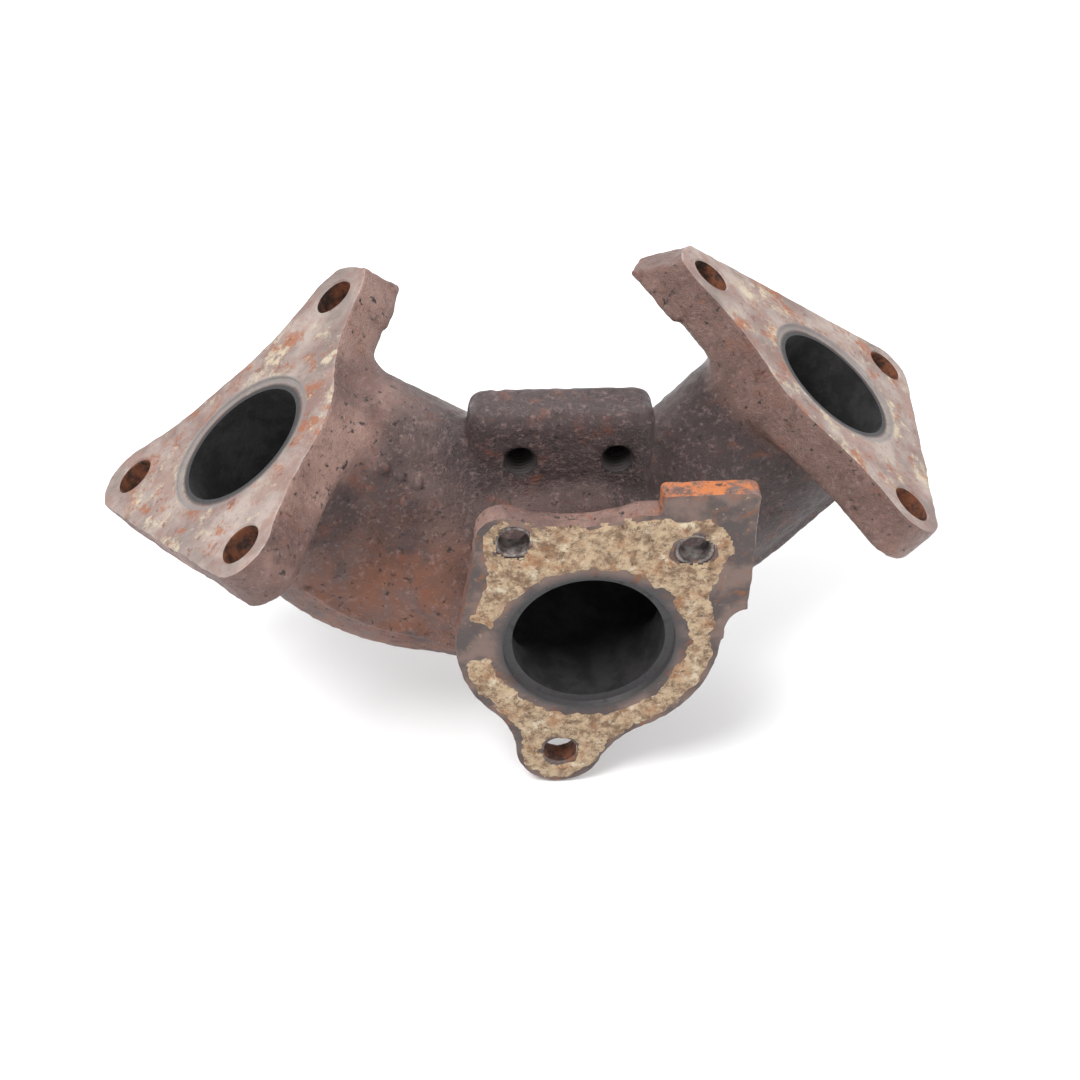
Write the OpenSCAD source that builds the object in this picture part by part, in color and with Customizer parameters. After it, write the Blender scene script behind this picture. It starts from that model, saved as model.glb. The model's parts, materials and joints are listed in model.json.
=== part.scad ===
// Cast iron exhaust manifold that joins two side ports into one outlet port.
// X runs to the right, Y runs back from the outlet face and Z is up.
// The origin is the centre of the outlet port, on the outlet face.

/* [Side flanges] */
// Bore of each side port
port_d = 33.5; // [30:0.5:36]
// Diameter of the shallow gasket seat round each side port
seat_d = 40; // [38:0.5:44]
// Depth of the gasket seat
seat_depth = 0.8; // [0.4:0.1:1.5]
// Thickness of each side flange
side_t = 12.5; // [10:0.5:16]
// Radius of the round middle of each side flange
side_disc_r = 29; // [27:0.5:32]
// Diameter of the side bolt holes
side_bolt_d = 10.5; // [8:0.5:11]
// Angle of each side face from the horizontal
bank_angle = 35; // [30:1:40]
// Forward lean of both side faces
lean = 5; // [0:1:8]

/* [Left leg] */
// Direction of the left branch, anticlockwise from +X seen from above
left_dir = 171; // [165:1:180]
// Straight length of the left branch, from the meeting point to the bend
left_branch = 36.5; // [34:0.5:44]
// Straight run from the left bend to the back of the left flange
left_run = 19.5; // [14:0.5:28]

/* [Right leg] */
// Direction of the right branch, anticlockwise from +X seen from above
right_dir = 40; // [36:1:50]
// Straight length of the right branch, from the meeting point to the bend
right_branch = 33.5; // [31:0.5:42]
// Straight run from the right bend to the back of the right flange
right_run = 9; // [7:0.5:18]

/* [Gas passage] */
// Wall of the runners and bends
leg_wall = 5.25; // [4:0.25:7]
// Inside diameter of the chamber where the legs meet
chamber_d = 40; // [38:1:42]
// Wall of the chamber
chamber_wall = 6; // [5:0.5:7]
// Centre-line radius of both bends
bend_r = 34; // [31:1:42]
// Distance from the outlet face back to where the legs meet
meet_y = 26; // [25:1:34]
// Height of that meeting point above the outlet axis
meet_z = 0; // [-4:1:2]

/* [Outlet flange] */
// Bore of the outlet port
outlet_d = 37.5; // [34:0.5:39]
// Diameter of the step inside the outlet face, where the mating pipe's spigot seats
outlet_seat_d = 42; // [41:0.5:46]
// Depth of that step
outlet_seat_depth = 2; // [1:0.5:3]
// Wall of the outlet neck
neck_wall = 6.5; // [5:0.5:8]
// Thickness of the outlet flange
outlet_t = 6.5; // [6:0.5:10]
// Radius of the round middle of the outlet flange
outlet_disc_r = 32.5; // [31:0.5:34]
// Radius of the outlet bolt circle
outlet_bolt_r = 37; // [35:0.5:39]
// Diameter of the lower outlet bolt hole
outlet_bolt_d = 8.5; // [7:0.5:9.5]
// Radius of the metal round the lower outlet bolt hole
outlet_lobe_r = 11.3; // [10:0.1:12.5]
// Width of the square tab beside the right bolt hole
tab_w = 23; // [20:1:26]
// Height of the top edge of the tab above the outlet axis
tab_top = 44.8; // [43:0.2:48]

/* [Locating sleeves] */
// Outside diameter of the sleeves in the two upper outlet holes
sleeve_d = 9.5; // [9:0.5:11]
// Bore of the sleeves
sleeve_bore_d = 7.4; // [6:0.2:7.8]
// Depth of the sleeves' front ends behind the outlet face
sleeve_inset = 0.4; // [0.2:0.1:1]

/* [Bracket pad] */
// Width of the bracket pad
pad_w = 45; // [40:1:50]
// Thickness of the bracket pad, front to back
pad_t = 15; // [13:0.5:18]
// Height of the top of the pad above the outlet axis
pad_top = 49.5; // [48:0.5:56]
// Distance from the outlet face back to the face of the pad
pad_y = 26; // [24:1:30]
// Spacing of the two tapped holes
tap_pitch = 23.5; // [20:0.5:26]
// Tapping diameter of the tapped holes
tap_d = 6.8; // [5:0.2:8]
// Height of the tapped holes above the outlet axis
tap_z = 36.5; // [35:0.5:42]
// Depth of the tapped holes
tap_depth = 12; // [8:0.5:12.5]

/* [Casting details] */
// Thickness of the gasket residue on the outlet face
residue_t = 0.6; // [0.3:0.1:1]
// Height of the raised parting lines
raised = 1; // [0.6:0.1:1.5]

/* [Hidden] */

$fn = 96;
// Cuts run this far past the faces they open
over = 1;
leg_r = port_d / 2 + leg_wall;
chamber_r = chamber_d / 2 + chamber_wall;
neck_r = outlet_d / 2 + neck_wall;

// Bolt holes of the side flanges: X up the slope, Y to the back, then the radius of each lobe
left_lobes = [[27, 37, 10], [-36, 12, 10.5], [3.5, -37.5, 9.5]];
right_lobes = [[39.5, 16.5, 9.5], [-25.5, 25, 8.5], [-16.5, -37, 9]];
// Whether a straight edge joins each lobe to the next one
left_skirts = [false, true, false];
right_skirts = [true, true, false];
side_waist_r = 60;

// Angles of the outlet bolt holes round the outlet axis: left, right and low
outlet_bolt_angles = [120, 50, -100];
outlet_waist_r = 22;

// The pad and its holes sit a little left of the outlet axis
pad_x = -5.5;
tap_x = -4;

// Directions and turning frames of the legs
function side_normal(s) = [
    -s * sin(bank_angle),
    -cos(bank_angle) * sin(lean),
    cos(bank_angle) * cos(lean)
];
function heading(a) = [cos(a), sin(a), 0];
function unit(v) = v / norm(v);
function turn_angle(s, a) = acos(heading(a) * side_normal(s));
function turn_up(s, a) = unit(side_normal(s) - heading(a) * (heading(a) * side_normal(s)));
function matrix_of(x, y, z, o) = [
    [x[0], y[0], z[0], o[0]],
    [x[1], y[1], z[1], o[1]],
    [x[2], y[2], z[2], o[2]],
    [0, 0, 0, 1]
];
meet = [0, meet_y, meet_z];
function bend_start(a, branch) = meet + branch * heading(a);
function bend_end(s, a, branch) = bend_start(a, branch)
    + bend_r * sin(turn_angle(s, a)) * heading(a)
    + bend_r * (1 - cos(turn_angle(s, a))) * turn_up(s, a);

// s is 1 for the left side and -1 for the right side
LEFT = [1, left_dir, left_branch, left_run];
RIGHT = [-1, right_dir, right_branch, right_run];

// Frame of a bend: it leaves the origin along +X and turns up towards +Z
module at_bend(leg) {
    x = heading(leg[1]);
    z = turn_up(leg[0], leg[1]);
    multmatrix(matrix_of(x, cross(z, x), z, bend_start(leg[1], leg[2]))) children();
}

// Frame of a side port: +Z leaves the port, X runs up the slope, the origin is on the bend's end
module at_port(leg) {
    translate(bend_end(leg[0], leg[1], leg[2]))
        rotate([lean, 0, 0])
            rotate([0, -leg[0] * bank_angle, 0])
                mirror([leg[0] < 0 ? 1 : 0, 0, 0]) children();
}

// Frame of the outlet face: X to the right, Y up, +Z out of the face
module at_outlet() {
    rotate([90, 0, 0]) children();
}

module bar_between(p, q, r1, r2) {
    d = q - p;
    translate(p)
        rotate([0, acos(d[2] / norm(d)), atan2(d[1], d[0])])
            cylinder(h = norm(d), r1 = r1, r2 = r2);
}

// Metal between a round middle and a lobe, with hollow arcs of radius waist at both sides
module waist(lobe, disc_r, waist_r) {
    d = norm([lobe[0], lobe[1]]);
    fx = (pow(disc_r + waist_r, 2) - pow(lobe[2] + waist_r, 2) + d * d) / (2 * d);
    fy = sqrt(pow(disc_r + waist_r, 2) - fx * fx);
    rotate(atan2(lobe[1], lobe[0]))
        difference() {
            polygon([[0, 0], [fx, fy], [d, 0], [fx, -fy]]);
            for (side = [-1, 1])
                translate([fx, side * fy])
                    circle(waist_r);
        }
}

// Straight edge that touches two lobes, on the side away from the origin
module skirt(a, b) {
    d = [b[0] - a[0], b[1] - a[1]];
    spread = acos((a[2] - b[2]) / norm(d));
    along = atan2(d[1], d[0]);
    away = cross(d, [a[0], a[1]]) > 0 ? 1 : -1;
    n = [cos(along + away * spread), sin(along + away * spread)];
    polygon([
        [0, 0],
        [a[0], a[1]],
        [a[0], a[1]] + a[2] * n,
        [b[0], b[1]] + b[2] * n,
        [b[0], b[1]]
    ]);
}

// Plate of thickness h: a round middle with a lobe for each bolt
module lobed_plate(h, lobes, skirts, disc_r, waist_r) {
    cylinder(h = h, r = disc_r);
    for (lobe = lobes) {
        translate([lobe[0], lobe[1], 0])
            cylinder(h = h, r = lobe[2]);
        linear_extrude(h)
            waist(lobe, disc_r, waist_r);
    }
    for (pair = skirts)
        linear_extrude(h)
            skirt(lobes[pair[0]], lobes[pair[1]]);
}

// Outline of a side flange, anticlockwise, from arcs that meet without a corner: each lobe is
// joined to the next by a straight edge, or by the round middle and a hollow arc at each side
arc_steps = 10;
function arc_points(c, r, a0, a1) = [
    for (k = [1:arc_steps]) let (a = a0 + (a1 - a0) * k / arc_steps) c + r * [cos(a), sin(a)]
];
function bearing(l) = atan2(l[1], l[0]);
function waist_x(l) = (pow(side_disc_r + side_waist_r, 2) - pow(l[2] + side_waist_r, 2)
    + l[0] * l[0] + l[1] * l[1]) / (2 * norm([l[0], l[1]]));
function waist_y(l) = sqrt(pow(side_disc_r + side_waist_r, 2) - pow(waist_x(l), 2));
function disc_half(l) = atan2(waist_y(l), waist_x(l));
function lobe_half(l) = atan2(waist_y(l), waist_x(l) - norm([l[0], l[1]]));
function waist_centre(a) = (side_disc_r + side_waist_r) * [cos(a), sin(a)];
function skirt_angle(a, b) = atan2(b[1] - a[1], b[0] - a[0])
    - acos((a[2] - b[2]) / norm([b[0] - a[0], b[1] - a[1]]));
// Angle a turned by whole turns until it is past angle b
function past(a, b) = a > b ? (a - 360 > b ? past(a - 360, b) : a) : past(a + 360, b);

function lobe_arc(l, from, to) = arc_points([l[0], l[1]], l[2], from, past(to, from));
function dip(l, m) = concat(
    arc_points(
        waist_centre(bearing(l) + disc_half(l)),
        side_waist_r,
        bearing(l) + lobe_half(l) + 180,
        bearing(l) + disc_half(l) + 180
    ),
    arc_points(
        [0, 0],
        side_disc_r,
        bearing(l) + disc_half(l),
        past(bearing(m) - disc_half(m), bearing(l) + disc_half(l))
    ),
    arc_points(
        waist_centre(bearing(m) - disc_half(m)),
        side_waist_r,
        bearing(m) - disc_half(m) + 180,
        bearing(m) - lobe_half(m) + 180
    )
);
function side_outline(lobes, skirts) = [
    for (i = [0, 1, 2])
        let (l = lobes[i], after = lobes[(i + 1) % 3], before = lobes[(i + 2) % 3])
            for (p = concat(
                lobe_arc(
                    l,
                    skirts[(i + 2) % 3] ? skirt_angle(before, l) : bearing(l) - lobe_half(l),
                    skirts[i] ? skirt_angle(l, after) : bearing(l) + lobe_half(l)
                ),
                skirts[i] ? [] : dip(l, after)
            )) p
];

module side_flange(leg, lobes, skirts) {
    at_port(leg)
        translate([0, 0, leg[3]])
            difference() {
                linear_extrude(side_t)
                    polygon(side_outline(lobes, skirts));
                translate([0, 0, -over])
                    cylinder(h = side_t + 2 * over, d = port_d);
                translate([0, 0, side_t - seat_depth])
                    cylinder(h = seat_depth + over, d = seat_d);
                for (lobe = lobes)
                    translate([lobe[0], lobe[1], -over])
                        cylinder(h = side_t + 2 * over, d = side_bolt_d);
            }
}

module runner_body(leg) {
    at_port(leg)
        cylinder(h = leg[3], r = leg_r);
}

module runner(leg) {
    difference() {
        runner_body(leg);
        at_port(leg)
            translate([0, 0, -over])
                cylinder(h = leg[3] + 2 * over, d = port_d);
    }
}

// A bend turned up from +X by the leg's turning angle
module bend(leg, r) {
    at_bend(leg)
        translate([0, 0, bend_r])
            rotate([90, 0, 0])
                rotate(-90)
                    rotate_extrude(angle = turn_angle(leg[0], leg[1]), $fn = 192)
                        translate([bend_r, 0])
                            circle(r);
}

module elbow(leg) {
    difference() {
        bend(leg, leg_r);
        bend(leg, port_d / 2);
    }
}

// Chamber of radius r with a branch that tapers to leg_end for each leg
module collector_body(r, leg_end) {
    translate(meet)
        sphere(r);
    for (leg = [LEFT, RIGHT])
        bar_between(meet, bend_start(leg[1], leg[2]), r, leg_end);
}

module collector_outside() {
    collector_body(chamber_r, leg_r);
}

module collector_passage() {
    collector_body(chamber_d / 2, port_d / 2);
}

module neck_body(r) {
    translate([0, outlet_t, 0])
        rotate([-90, 0, 0])
            cylinder(h = meet_y - outlet_t, r = r);
}

module outlet_bore() {
    translate([0, -over, 0])
        rotate([-90, 0, 0])
            cylinder(h = meet_y + over, d = outlet_d);
}

// Everything a leg is made of outside, for trimming what stands on it
module leg_bodies(leg) {
    runner_body(leg);
    bend(leg, leg_r);
}

// Radius of the bar that fills a bend, and how far it stays from the bend's own axis
gusset_r = 15;
gusset_clear = 5;

pad_edge_r = 5.5;
module pad_body() {
    translate([pad_x - pad_w / 2, 0, 0])
        rotate([90, 0, 90])
            linear_extrude(pad_w) {
                translate([pad_y, meet_z])
                    square([pad_t, pad_top - pad_edge_r - meet_z]);
                translate([pad_y + pad_edge_r, meet_z])
                    square([pad_t - 2 * pad_edge_r, pad_top - meet_z]);
                for (y = [pad_edge_r, pad_t - pad_edge_r])
                    translate([pad_y + y, pad_top - pad_edge_r])
                        circle(pad_edge_r);
            }
}

// Outlet bolt holes in the outlet face's frame
function outlet_bolt(a) = outlet_bolt_r * [cos(a), sin(a)];
outlet_low = [outlet_bolt(outlet_bolt_angles[2])[0], outlet_bolt(outlet_bolt_angles[2])[1], outlet_lobe_r];
shoulder_r = 6.5;
shoulder = outlet_bolt(outlet_bolt_angles[0]) + [-2.5, 1];
shoulder_top = shoulder[1] + shoulder_r;
dip_r = 40;
dip_depth = 3;
dip_x = -5;
tab_right = 38.2;
tab_foot = 9.6;
tab_corner_r = 1.5;
notch_r = 6;
notch_gap = 0.7;

module outlet_plate() {
    tab_left = tab_right - tab_w;
    notch_x = outlet_disc_r + notch_gap + notch_r;
    lobed_plate(outlet_t, [outlet_low], [], outlet_disc_r, outlet_waist_r);
    lobed_plate(outlet_t, [[shoulder[0], shoulder[1], shoulder_r]], [], outlet_disc_r, 10 * outlet_waist_r);
    // Upper edge with its shallow dip
    difference() {
        translate([shoulder[0], 0, 0])
            cube([tab_left + tab_corner_r - shoulder[0], shoulder_top, outlet_t]);
        translate([dip_x, shoulder_top - dip_depth + dip_r, -over])
            cylinder(h = outlet_t + 2 * over, r = dip_r);
    }
    // Square tab with a rounded notch under it
    difference() {
        union() {
            translate([tab_left, 0, 0])
                cube([tab_w, tab_top - tab_corner_r, outlet_t]);
            translate([tab_left + tab_corner_r, 0, 0])
                cube([tab_w - 2 * tab_corner_r, tab_top, outlet_t]);
            for (x = [tab_left + tab_corner_r, tab_right - tab_corner_r])
                translate([x, tab_top - tab_corner_r, 0])
                    cylinder(h = outlet_t, r = tab_corner_r);
        }
        translate([notch_x, tab_foot - notch_r, -over])
            cylinder(h = outlet_t + 2 * over, r = notch_r);
        translate([notch_x - notch_r, -over, -over])
            cube([2 * notch_r, tab_foot - notch_r + over, outlet_t + 2 * over]);
    }
}

module outlet_holes(z0, h, upper_d, low_d) {
    for (i = [0, 1, 2])
        translate([outlet_bolt(outlet_bolt_angles[i])[0], outlet_bolt(outlet_bolt_angles[i])[1], z0])
            cylinder(h = h, d = i < 2 ? upper_d : low_d);
}

module left_flange() {
    color("rosybrown") side_flange(LEFT, left_lobes, left_skirts);
}

module right_flange() {
    color("rosybrown") side_flange(RIGHT, right_lobes, right_skirts);
}

module left_runner() {
    color("dimgray") runner(LEFT);
}

module right_runner() {
    color("dimgray") runner(RIGHT);
}

module left_elbow() {
    color("sienna") elbow(LEFT);
}

module right_elbow() {
    color("dimgray") elbow(RIGHT);
}

module collector() {
    color("dimgray")
        difference() {
            collector_outside();
            collector_passage();
            neck_body(neck_r);
            outlet_bore();
            // Ends flush with the back of the outlet flange
            translate([-2 * outlet_disc_r, outlet_t - 4 * outlet_disc_r, -2 * outlet_disc_r])
                cube(4 * outlet_disc_r);
        }
}

module outlet_neck() {
    color("dimgray")
        difference() {
            neck_body(neck_r);
            collector_passage();
            outlet_bore();
        }
}

module outlet_flange() {
    color("darksalmon")
        at_outlet()
            difference() {
                translate([0, 0, -outlet_t])
                    outlet_plate();
                translate([0, 0, -outlet_t - over])
                    cylinder(h = outlet_t + 2 * over, d = outlet_d);
                translate([0, 0, -outlet_seat_depth])
                    cylinder(h = outlet_seat_depth + over, d = outlet_seat_d);
                outlet_holes(-outlet_t - over, outlet_t + 2 * over, sleeve_d, outlet_bolt_d);
            }
}

// Fill of a bend's inner corner: a crescent between the leg and a round bar inside the bend
module gusset(leg) {
    at_bend(leg)
        translate([0, 0, bend_r])
            rotate([90, 0, 0])
                rotate(-90)
                    rotate_extrude(angle = turn_angle(leg[0], leg[1]), $fn = 192)
                        difference() {
                            translate([gusset_r + gusset_clear, 0])
                                circle(gusset_r);
                            translate([bend_r, 0])
                                circle(leg_r, $fn = 192);
                        }
}

module left_gusset() {
    color("dimgray") gusset(LEFT);
}

module right_gusset() {
    color("dimgray") gusset(RIGHT);
}

// Small web under the left flange
web_t = 7;
web_angle = -62;
web_drop = 15;
module left_web() {
    color("dimgray")
        at_port(LEFT)
            rotate(web_angle)
                difference() {
                    rotate([90, 0, 0])
                        linear_extrude(web_t, center = true)
                            polygon([
                                [leg_r - over, left_run - web_drop],
                                [leg_r + over, left_run - web_drop],
                                [side_disc_r - over, left_run],
                                [leg_r - over, left_run]
                            ]);
                    cylinder(h = 2 * left_run, r = leg_r);
                }
}

module bracket_pad() {
    color("#3b2f30")
        difference() {
            pad_body();
            collector_outside();
            neck_body(neck_r);
            leg_bodies(RIGHT);
            for (side = [-1, 1])
                translate([tap_x + side * tap_pitch / 2, pad_y - over, tap_z])
                    rotate([-90, 0, 0])
                        cylinder(h = tap_depth + over, d = tap_d);
        }
}

module locating_sleeves() {
    color("gray")
        at_outlet()
            for (i = [0, 1])
                translate([
                    outlet_bolt(outlet_bolt_angles[i])[0],
                    outlet_bolt(outlet_bolt_angles[i])[1],
                    -outlet_t
                ])
                    difference() {
                        cylinder(h = outlet_t - sleeve_inset, d = sleeve_d);
                        translate([0, 0, -over])
                            cylinder(h = outlet_t + 2 * over, d = sleeve_bore_d);
                    }
}

// Crust left by the gasket, inside the outline of the outlet flange
residue_lobe_r = [7.2, 8.8, 9.5];
residue_disc_r = 30.5;
residue_bore_r = 24;
residue_hole_d = 10.4;
module gasket_residue() {
    lobes = [
        for (i = [0, 1, 2])
            let (bolt = outlet_bolt(outlet_bolt_angles[i])) [bolt[0], bolt[1], residue_lobe_r[i]]
    ];
    color("tan")
        at_outlet()
            difference() {
                lobed_plate(residue_t, lobes, [[0, 1]], residue_disc_r, outlet_waist_r);
                translate([0, 0, -over])
                    cylinder(h = residue_t + 2 * over, r = residue_bore_r);
                outlet_holes(-over, residue_t + 2 * over, residue_hole_d, residue_hole_d);
            }
}

// Half-round ridge on the front of a bend, where the halves of the mould met
module parting_line(leg) {
    at_bend(leg)
        translate([0, 0, bend_r])
            rotate([90, 0, 0])
                rotate(-90)
                    rotate_extrude(angle = turn_angle(leg[0], leg[1]), $fn = 192)
                        translate([bend_r, 0])
                            difference() {
                                translate([0, -leg[0] * leg_r])
                                    circle(raised, $fn = 24);
                                circle(leg_r, $fn = 192);
                            }
}

module left_parting_line() {
    color("dimgray") parting_line(LEFT);
}

module right_parting_line() {
    color("dimgray") parting_line(RIGHT);
}

left_flange();
left_runner();
left_elbow();
left_gusset();
left_web();
right_flange();
right_runner();
right_elbow();
right_gusset();
collector();
outlet_neck();
outlet_flange();
bracket_pad();
locating_sleeves();
gasket_residue();
left_parting_line();
right_parting_line();
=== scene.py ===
import json
import math

import bmesh
import bpy
import numpy as np
from mathutils import Matrix, Vector
from mathutils.geometry import delaunay_2d_cdt


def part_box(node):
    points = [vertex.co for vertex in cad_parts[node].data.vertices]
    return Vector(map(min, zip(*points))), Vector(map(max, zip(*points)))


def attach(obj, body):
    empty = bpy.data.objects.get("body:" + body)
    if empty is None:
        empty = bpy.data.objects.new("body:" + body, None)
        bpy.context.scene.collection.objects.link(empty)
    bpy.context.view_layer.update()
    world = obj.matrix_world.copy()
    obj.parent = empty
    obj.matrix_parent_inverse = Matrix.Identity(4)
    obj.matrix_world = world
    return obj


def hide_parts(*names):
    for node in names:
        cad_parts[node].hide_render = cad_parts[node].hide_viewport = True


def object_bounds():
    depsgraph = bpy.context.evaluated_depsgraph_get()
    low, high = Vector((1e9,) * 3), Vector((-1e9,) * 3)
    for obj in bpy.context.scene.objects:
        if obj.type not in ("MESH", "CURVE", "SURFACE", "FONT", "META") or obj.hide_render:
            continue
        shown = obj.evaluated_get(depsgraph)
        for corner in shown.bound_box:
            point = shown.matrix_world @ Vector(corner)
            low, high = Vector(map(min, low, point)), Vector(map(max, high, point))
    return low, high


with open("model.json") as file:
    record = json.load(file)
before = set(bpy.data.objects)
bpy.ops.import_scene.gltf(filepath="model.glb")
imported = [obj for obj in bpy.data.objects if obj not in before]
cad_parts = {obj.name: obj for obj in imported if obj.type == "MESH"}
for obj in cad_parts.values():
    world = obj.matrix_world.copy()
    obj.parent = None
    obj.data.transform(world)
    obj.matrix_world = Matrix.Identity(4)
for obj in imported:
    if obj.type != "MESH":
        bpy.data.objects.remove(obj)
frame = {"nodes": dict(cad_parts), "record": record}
cad_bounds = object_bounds()

# Lengths are in millimetres until a mesh is made
MM = 1000.0
cad_bounds_mm = [np.array(c) * MM for c in cad_bounds]

# Sizes of the casting, as in the CAD
PORT_R, SEAT_R, SEAT_DEPTH, SIDE_T = 16.75, 20.0, 0.8, 12.5
SIDE_BOLT_R, SLEEVE_HOLE_R, LOW_HOLE_R = 5.25, 4.75, 4.25
LEG_R, CHAMBER_R, CHAMBER_BORE_R, BEND_R = 22.0, 26.0, 20.0, 34.0
OUTLET_R, OUTLET_SEAT_R, OUTLET_SEAT_DEPTH, OUTLET_T, NECK_R = 18.75, 21.0, 2.0, 6.5, 25.25
RESIDUE_BORE_R, RESIDUE_HOLE_R = 24.0, 5.2
MEET = np.array([0.0, 26.0, 0.0])
Y_AXIS = np.array([0.0, 1.0, 0.0])

# Sizes that only the looks have
GRID = 0.85          # spacing of the surface grid
COARSE = 4           # fine cells per coarse cell
MARGIN = 4.0         # the grid goes this far past the CAD's box
EXTRA = 2.5          # the cast shape stands this far past a machined face before it is cut
EDGE = 0.45          # broken edge round a machined face
BACK_ROUND = 2.4     # rounding of a side flange's back edge
FLANGE_FILLET = 5.0  # between a side flange and its leg
PARTING_H, PARTING_W = 0.9, 1.3  # height and half width of the cast parting line
PAD_ROUND = 4.2      # rounding of the bracket pad's corners
PIP_R = 1.5
TAP_CLEAR_R = 3.95   # opening that each thread's own piece fills
FLANGE_REACH = 75    # a side flange lies within this distance of its port
MIN_RIM = 8          # a cut's loop with fewer corners is a stray
FACE_STEP = 0.8      # spacing of the points over a machined face
SHARP = 0.9          # edges that turn by more than this, in radians, stay sharp
RNG = np.random.default_rng(7)

mounts = {m["name"]: m for m in frame["record"]["mounts"]}


def mount_point(name):
    return np.array(mounts[name]["pos_m"]) * MM


def mount_axis(name):
    return np.array(mounts[name]["axis"], float)


def node_mesh(name):
    """Corners and triangles of a CAD node, in millimetres, with equal corners merged."""
    mesh = frame["nodes"][name].data
    mesh.calc_loop_triangles()
    co = np.empty(len(mesh.vertices) * 3)
    mesh.vertices.foreach_get("co", co)
    tri = np.empty(len(mesh.loop_triangles) * 3, int)
    mesh.loop_triangles.foreach_get("vertices", tri)
    co = co.reshape(-1, 3) * MM
    keys, inverse = np.unique(np.round(co, 3), axis=0, return_inverse=True)
    return keys, inverse.reshape(-1)[tri].reshape(-1, 3)


def outline(name, origin, axes, depth, rounds):
    """Edges of a node's section this deep behind a face, as pairs of 2-D points.

    Its round holes, given as centre and radius, are left out.
    """
    co, tri = node_mesh(name)
    local = (co - origin) @ np.array(axes).T
    z = local[:, 2] + depth
    segments = []
    for t in tri[(z[tri].min(axis=1) < 0) & (z[tri].max(axis=1) >= 0)]:
        ends = []
        for a, b in ((t[0], t[1]), (t[1], t[2]), (t[2], t[0])):
            if (z[a] < 0) != (z[b] < 0):
                ends.append((local[a] + (local[b] - local[a]) * z[a] / (z[a] - z[b]))[:2])
        mid = (ends[0] + ends[1]) / 2
        if all(abs(np.hypot(*(mid - c)) - r) > 0.12 for c, r in rounds):
            segments.append(ends)
    return np.array(segments)


def polygon_area(p):
    q = np.roll(p, -1, axis=0)
    return 0.5 * np.sum(p[:, 0] * q[:, 1] - q[:, 0] * p[:, 1])


def loop_edges(poly):
    return np.stack([poly, np.roll(poly, -1, axis=0)], axis=1)


def inside_edges(pts, edges):
    # The small shift keeps rays off the corners
    hit = np.zeros(len(pts), bool)
    x, y = pts[:, 0], pts[:, 1] + 1.7e-5
    for a, b in edges:
        cross = (a[1] > y) != (b[1] > y)
        if cross.any():
            at = a[0] + (y[cross] - a[1]) / (b[1] - a[1]) * (b[0] - a[0])
            hit[np.flatnonzero(cross)[x[cross] < at]] ^= True
    return hit


def edge_distance(pts, edges):
    best = np.full(len(pts), 1e9)
    for a, b in edges:
        d = b - a
        t = np.clip(((pts - a) @ d) / max(d @ d, 1e-12), 0, 1)
        e = pts - a - t[:, None] * d
        best = np.minimum(best, (e * e).sum(axis=1))
    return np.sqrt(best)


def inside_polygon(pts, poly):
    return inside_edges(pts, loop_edges(poly))


def polygon_distance(pts, poly):
    return edge_distance(pts, loop_edges(poly))


class Outline:
    """Signed distance to a section's outside edge, looked up in a small grid."""

    def __init__(self, edges, step=0.5, margin=14.0):
        corners = edges.reshape(-1, 2)
        self.step = step
        self.low = corners.min(axis=0) - margin
        n = np.ceil((corners.max(axis=0) + margin - self.low) / step).astype(int) + 1
        gx, gy = np.meshgrid(np.arange(n[0]), np.arange(n[1]), indexing="ij")
        pts = self.low + step * np.stack([gx.ravel(), gy.ravel()], axis=1)
        d = edge_distance(pts, edges)
        d[inside_edges(pts, edges)] *= -1
        self.grid = d.reshape(n)

    def __call__(self, x, y):
        fx = np.clip((x - self.low[0]) / self.step, 0, self.grid.shape[0] - 1.001)
        fy = np.clip((y - self.low[1]) / self.step, 0, self.grid.shape[1] - 1.001)
        ix, iy = fx.astype(int), fy.astype(int)
        tx, ty = fx - ix, fy - iy
        g = self.grid
        return (g[ix, iy] * (1 - tx) * (1 - ty) + g[ix + 1, iy] * tx * (1 - ty)
                + g[ix, iy + 1] * (1 - tx) * ty + g[ix + 1, iy + 1] * tx * ty)


NOISE = RNG.random((64, 64, 64)).astype(np.float32)


def noise(p, size, shift=0.0):
    """Smooth noise from -1 to 1 whose blobs are about this size."""
    q = p / size + 100.0 + shift
    i = np.floor(q).astype(np.int64)
    t = q - i
    t = t * t * (3 - 2 * t)
    i &= 63
    j = (i + 1) & 63
    tx, ty, tz = t[:, 0], t[:, 1], t[:, 2]
    out = np.zeros(len(p))
    for cx, wx in ((i[:, 0], 1 - tx), (j[:, 0], tx)):
        for cy, wy in ((i[:, 1], 1 - ty), (j[:, 1], ty)):
            for cz, wz in ((i[:, 2], 1 - tz), (j[:, 2], tz)):
                out += NOISE[cx, cy, cz] * wx * wy * wz
    return out * 2 - 1


def smin(a, b, k):
    """Smaller of two distances, with a fillet of about k between them."""
    h = np.clip(0.5 + 0.5 * (b - a) / k, 0, 1)
    return b + (a - b) * h - k * h * (1 - h)


def smax(a, b, k):
    return -smin(-a, -b, k)


def segment(p, a, b, ra, rb):
    """Distance to a round bar from a to b, whose radius goes from ra to rb."""
    d = b - a
    t = np.clip(((p - a) @ d) / (d @ d), 0, 1)
    e = p - a - t[:, None] * d
    return np.sqrt((e * e).sum(axis=1)) - (ra + (rb - ra) * t)


def tube(p, a, axis, r):
    """Distance to an endless round bar through a along axis."""
    e = p - a
    e = e - (e @ axis)[:, None] * axis
    return np.sqrt((e * e).sum(axis=1)) - r


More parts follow.
